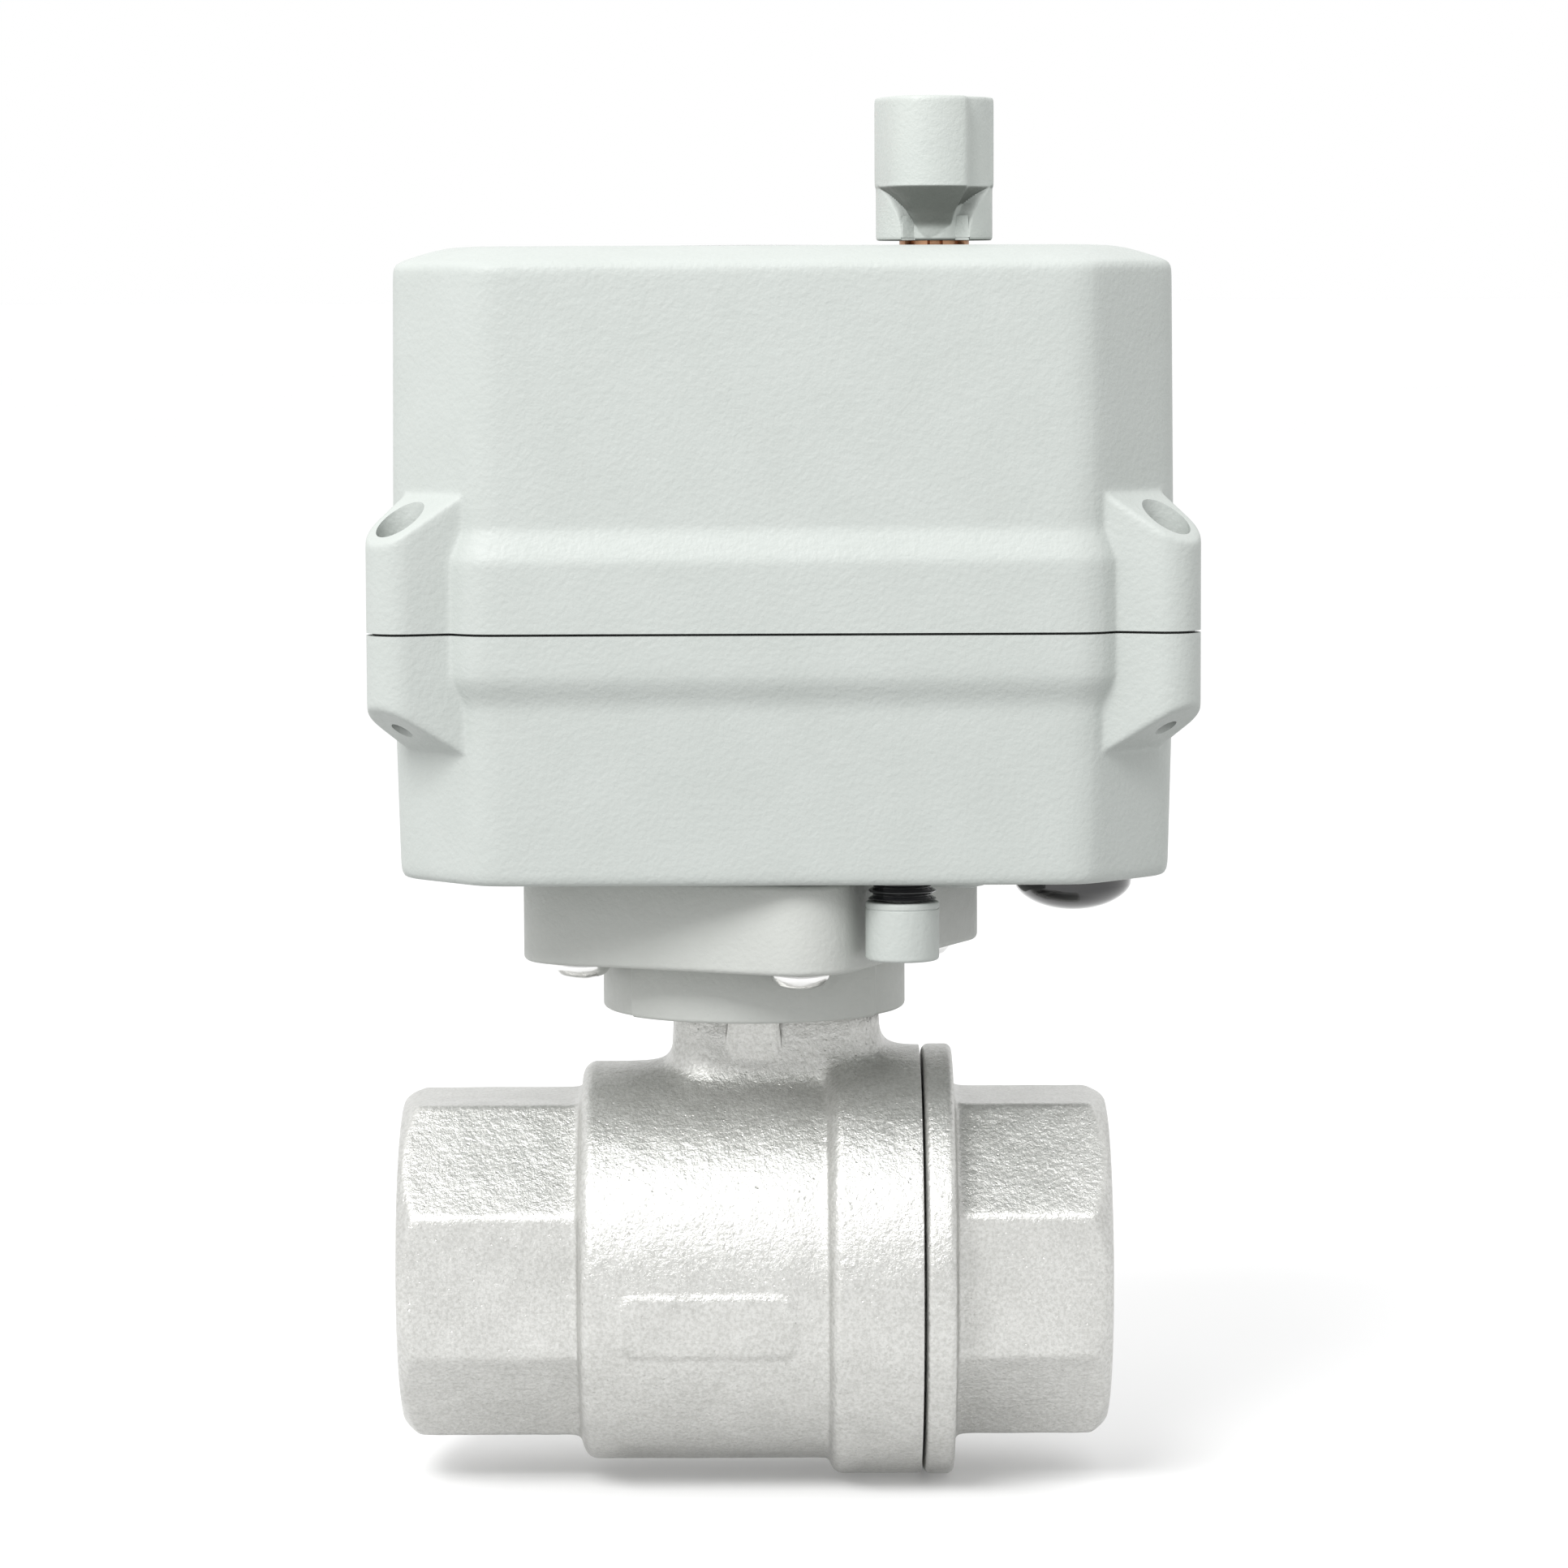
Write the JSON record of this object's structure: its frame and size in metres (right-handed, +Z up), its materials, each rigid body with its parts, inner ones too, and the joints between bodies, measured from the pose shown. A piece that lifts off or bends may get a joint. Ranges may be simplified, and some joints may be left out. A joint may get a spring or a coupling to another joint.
{
  "type": "motorized ball valve",
  "caption": "Quarter-turn electric actuator with a manual knob, fixed by a screwed pad to a threaded two-piece stainless ball valve.",
  "frame": {"origin": "where the pipe axis meets the stem axis, at the centre of the ball", "axes": "+X along the pipe from the body end to the end cap, +Z up the stem to the actuator, -Y the front"},
  "size_m": [0.099, 0.069, 0.1698],
  "materials": {
    "cast_stainless": "investment-cast stainless steel, tumbled, fine pits",
    "bright_steel": "bright machined stainless",
    "zinc_steel": "zinc-plated steel",
    "ptfe": "white fluoropolymer",
    "housing_grey": "light grey fine orange-peel paint on cast aluminium",
    "mount_grey": "mid grey satin paint on cast aluminium",
    "brass": "machined brass",
    "white_plastic": "moulded acetal",
    "black_plastic": "moulded",
    "gloss_black": "glossy moulded",
    "black_rubber": "moulded rubber",
    "indicator_red": "moulded",
    "clear_window": "clear polycarbonate",
    "board_green": "solder mask"
  },
  "bodies": {
    "frame": {"valve_body": "cast_stainless", "end_cap": "cast_stainless", "body_seal": "ptfe", "seat_left": "ptfe", "seat_right": "ptfe", "thrust_washer": "ptfe", "packing_ring": "ptfe", "adapter_ring": "mount_grey", "ring_screw_1": "zinc_steel", "ring_screw_2": "zinc_steel", "base_pad": "mount_grey", "pad_screw_1": "bright_steel", "pad_screw_2": "bright_steel", "pad_screw_3": "bright_steel", "pad_screw_4": "bright_steel", "lower_housing": "housing_grey", "upper_cover": "housing_grey", "cover_gasket": "black_rubber", "cover_screw_1": "bright_steel", "cover_screw_2": "bright_steel", "cover_screw_3": "bright_steel", "cover_screw_4": "bright_steel", "gear_plate_lower": "zinc_steel", "gear_plate_upper": "zinc_steel", "plate_pillar_1": "zinc_steel", "plate_pillar_2": "zinc_steel", "plate_pillar_3": "zinc_steel", "output_bush_lower": "brass", "output_bush_upper": "brass", "knob_seal": "black_rubber", "motor": "zinc_steel", "switch_open": "black_plastic", "switch_close": "black_plastic", "switch_bracket": "zinc_steel", "indicator_window": "clear_window", "circuit_board": "board_green", "capacitor": "black_plastic", "terminal_block": "board_green", "cable_plug": "gloss_black", "plug_washer": "black_rubber", "plug_locknut": "black_plastic", "release_spring": "bright_steel", "release_boot": "gloss_black"},
    "output": {"output_shaft": "bright_steel", "output_gear": "zinc_steel", "cam_open": "white_plastic", "cam_close": "white_plastic", "indicator_pointer": "indicator_red", "stem": "bright_steel", "gland_nut": "bright_steel", "ball": "bright_steel"},
    "manual_drive": {"manual_shaft": "brass", "manual_pinion": "brass", "manual_wheel": "white_plastic", "hand_knob": "housing_grey"},
    "motor_drive": {"motor_pinion": "brass"},
    "open_plunger": {"plunger_open": "indicator_red"},
    "close_plunger": {"plunger_close": "indicator_red"},
    "button": {"release_button": "housing_grey"}
  },
  "joints": [
    {"name": "output_turn", "type": "hinge", "parent": "frame", "child": "output", "pos_m": [0, 0, 0.06], "axis": [0, 0, 1], "range_deg": [0, 90]},
    {"name": "manual_turn", "type": "hinge", "parent": "frame", "child": "manual_drive", "pos_m": [0.0224, 0, 0.07], "axis": [0, 0, 1], "range_deg": [-270, 0]},
    {"name": "motor_turn", "type": "hinge", "parent": "frame", "child": "motor_drive", "pos_m": [0.03343, 0.01103, 0.075], "axis": [0, 0, 1], "range_deg": [0, 900]},
    {"name": "switch_open_press", "type": "slide", "parent": "frame", "child": "open_plunger", "axis": [-1, 0, 0], "range_m": [0, 0.0008], "stiffness_N_per_m": 100},
    {"name": "switch_close_press", "type": "slide", "parent": "frame", "child": "close_plunger", "axis": [-1, 0, 0], "range_m": [0, 0.0008], "stiffness_N_per_m": 100},
    {"name": "release_press", "type": "slide", "parent": "frame", "child": "button", "axis": [0, 0, 1], "range_m": [0, 0.0018], "stiffness_N_per_m": 300, "deforming": ["release_boot", "release_spring"]}
  ],
  "couplings": [
    {"joint": "manual_turn", "follows": "output_turn", "ratio": -3},
    {"joint": "motor_turn", "follows": "output_turn", "ratio": 10}
  ]
}
